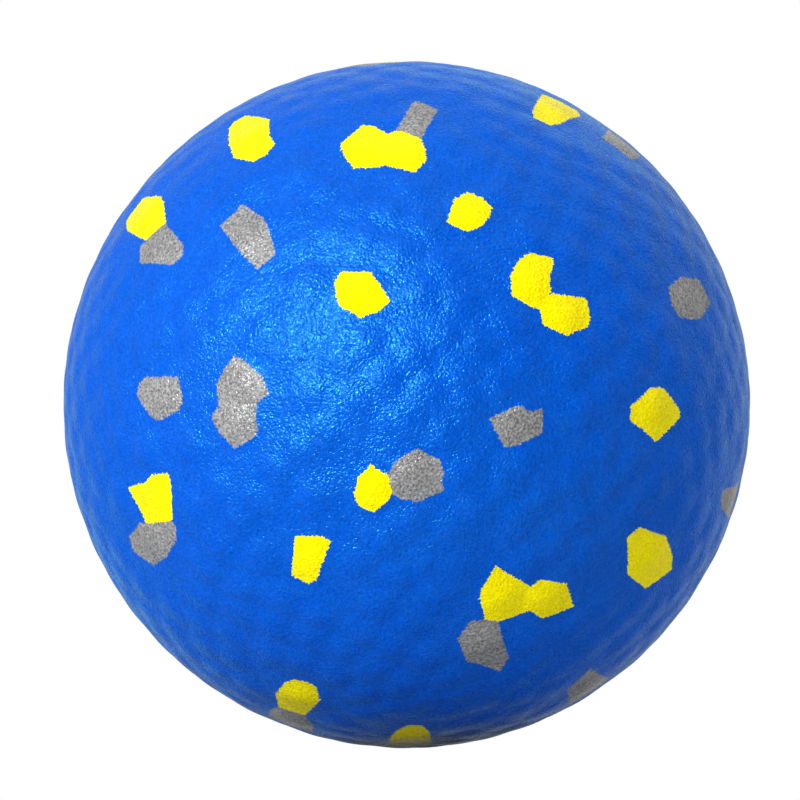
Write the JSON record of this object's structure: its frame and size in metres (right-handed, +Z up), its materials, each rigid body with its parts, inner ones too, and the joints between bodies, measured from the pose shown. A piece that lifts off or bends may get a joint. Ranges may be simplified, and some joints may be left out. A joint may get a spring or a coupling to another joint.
{
  "type": "dog ball",
  "caption": "Solid round dog ball moulded from foam beads: a pebbled blue ball with yellow and grey beads set flush in it, for throwing, fetching and chewing.",
  "frame": {"origin": "middle of the ball", "axes": "+Z up and +Y away from the viewer in the pictured pose, +X to the viewer's right"},
  "size_m": [0.0685, 0.0686, 0.0686],
  "materials": {
    "blue_foam": "moulded foam skin, pebbled, fine wrinkled grain, soft sheen",
    "yellow_foam": "moulded foam skin, fine wrinkled grain, soft sheen",
    "grey_foam": "moulded foam skin, fine wrinkled grain, soft sheen"
  },
  "bodies": {
    "root": {"blue_bead_body": "blue_foam", "yellow_bead_01": "yellow_foam", "yellow_bead_02": "yellow_foam", "yellow_bead_03": "yellow_foam", "yellow_bead_04": "yellow_foam", "yellow_bead_05": "yellow_foam", "yellow_bead_06": "yellow_foam", "yellow_bead_07": "yellow_foam", "yellow_bead_08": "yellow_foam", "yellow_bead_09": "yellow_foam", "yellow_bead_10": "yellow_foam", "yellow_bead_11": "yellow_foam", "yellow_bead_12": "yellow_foam", "yellow_bead_13": "yellow_foam", "yellow_bead_14": "yellow_foam", "yellow_bead_15": "yellow_foam", "yellow_bead_16": "yellow_foam", "yellow_bead_17": "yellow_foam", "yellow_bead_18": "yellow_foam", "yellow_bead_19": "yellow_foam", "yellow_bead_20": "yellow_foam", "yellow_bead_21": "yellow_foam", "yellow_bead_22": "yellow_foam", "yellow_bead_23": "yellow_foam", "yellow_bead_24": "yellow_foam", "yellow_bead_25": "yellow_foam", "yellow_bead_26": "yellow_foam", "yellow_bead_27": "yellow_foam", "yellow_bead_28": "yellow_foam", "yellow_bead_29": "yellow_foam", "yellow_bead_30": "yellow_foam", "yellow_bead_31": "yellow_foam", "yellow_bead_32": "yellow_foam", "yellow_bead_33": "yellow_foam", "grey_bead_01": "grey_foam", "grey_bead_02": "grey_foam", "grey_bead_03": "grey_foam", "grey_bead_04": "grey_foam", "grey_bead_05": "grey_foam", "grey_bead_06": "grey_foam", "grey_bead_07": "grey_foam", "grey_bead_08": "grey_foam", "grey_bead_09": "grey_foam", "grey_bead_10": "grey_foam", "grey_bead_11": "grey_foam", "grey_bead_12": "grey_foam", "grey_bead_13": "grey_foam", "grey_bead_14": "grey_foam", "grey_bead_15": "grey_foam", "grey_bead_16": "grey_foam", "grey_bead_17": "grey_foam", "grey_bead_18": "grey_foam", "grey_bead_19": "grey_foam", "grey_bead_20": "grey_foam", "grey_bead_21": "grey_foam", "grey_bead_22": "grey_foam", "grey_bead_23": "grey_foam", "grey_bead_24": "grey_foam", "grey_bead_25": "grey_foam", "grey_bead_26": "grey_foam"}
  },
  "joints": []
}
